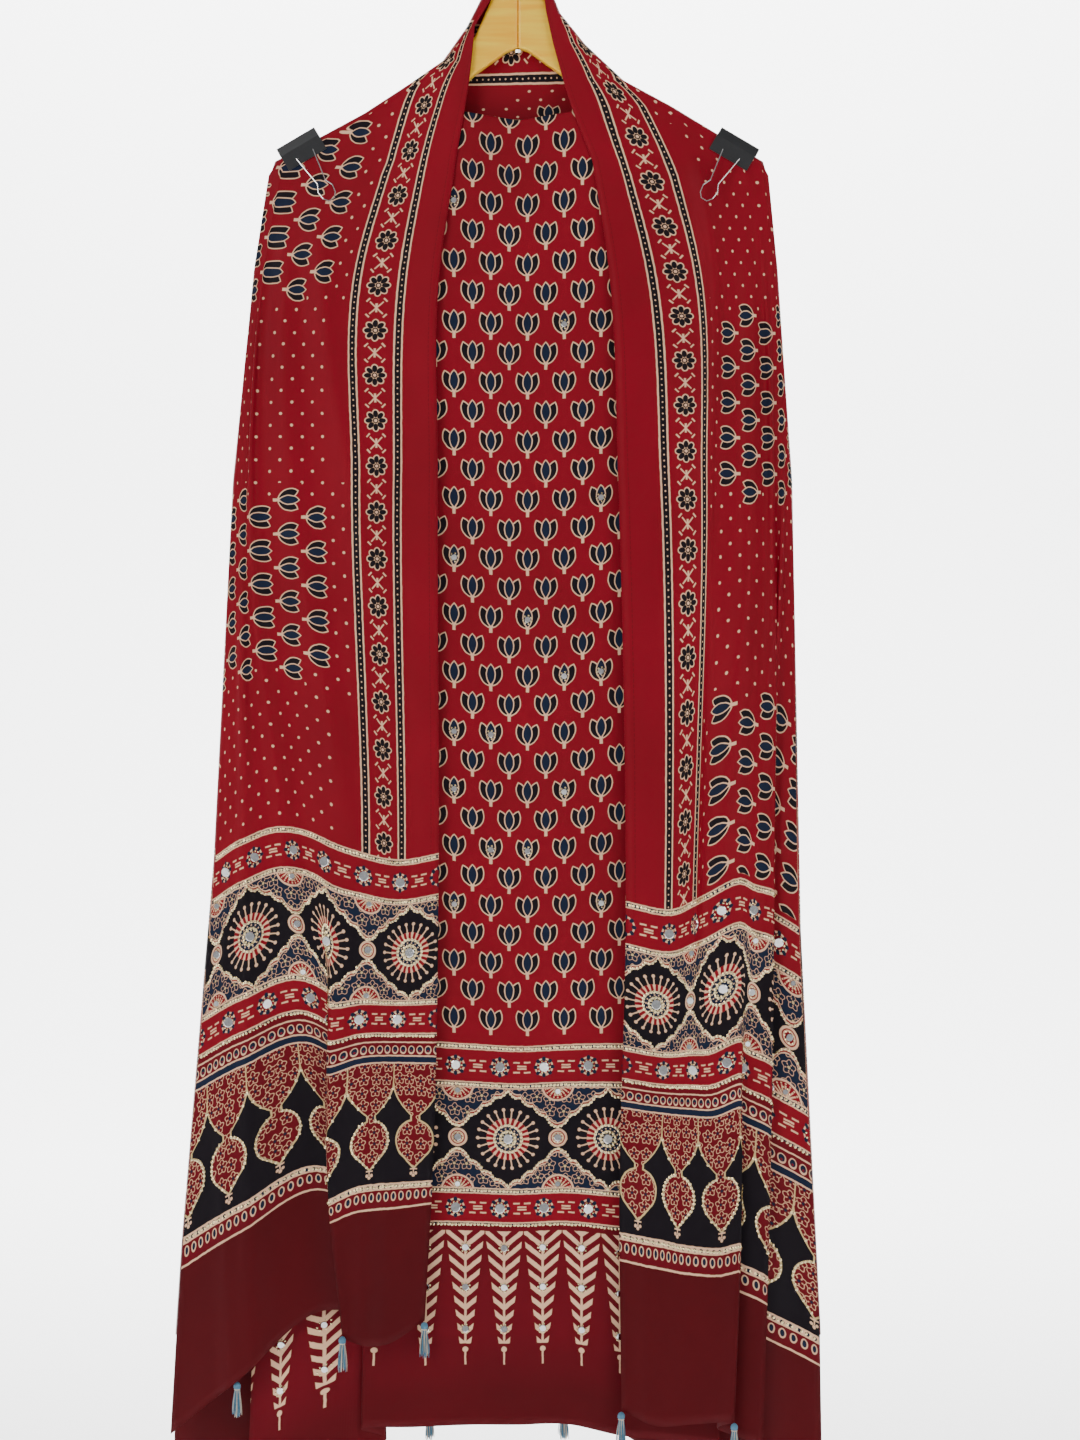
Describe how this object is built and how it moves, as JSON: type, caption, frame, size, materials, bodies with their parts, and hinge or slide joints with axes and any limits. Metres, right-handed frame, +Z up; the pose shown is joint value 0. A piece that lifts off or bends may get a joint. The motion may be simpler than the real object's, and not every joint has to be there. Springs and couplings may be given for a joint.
{
  "type": "ajrakh cloth set on a wooden clothes hanger",
  "caption": "Red block-printed shawl and dress length with mirror-work borders and tassels, clipped over a wooden clothes hanger.",
  "frame": {"origin": "the point under the hook's crook where a rail carries it", "axes": "+Z up, +X to the viewer's right, the front faces -Y"},
  "size_m": [0.6207, 0.1071, 1.6123],
  "materials": {
    "hanger_wood": "clear lacquered pale wood",
    "bright_wire": "plated wire",
    "clip_black": "black coated spring steel",
    "kameez_cloth": "soft satin-faced printed cloth",
    "dupatta_cloth": "soft satin-faced printed cloth",
    "tassel_yarn": "loose twisted yarn"
  },
  "bodies": {
    "root": {"hanger_arm_left": "hanger_wood", "hanger_arm_right": "hanger_wood", "hook": "bright_wire", "hook_nut": "bright_wire", "kameez": "kameez_cloth", "dupatta": "dupatta_cloth", "clip_left_body": "clip_black", "clip_left_handle_front": "bright_wire", "clip_left_handle_back": "bright_wire", "clip_right_body": "clip_black", "clip_right_handle_front": "bright_wire", "clip_right_handle_back": "bright_wire", "tassel_01": "tassel_yarn", "tassel_02": "tassel_yarn", "tassel_03": "tassel_yarn", "tassel_04": "tassel_yarn", "tassel_05": "tassel_yarn", "tassel_06": "tassel_yarn", "tassel_07": "tassel_yarn", "tassel_08": "tassel_yarn", "tassel_09": "tassel_yarn", "tassel_10": "tassel_yarn"}
  },
  "joints": []
}
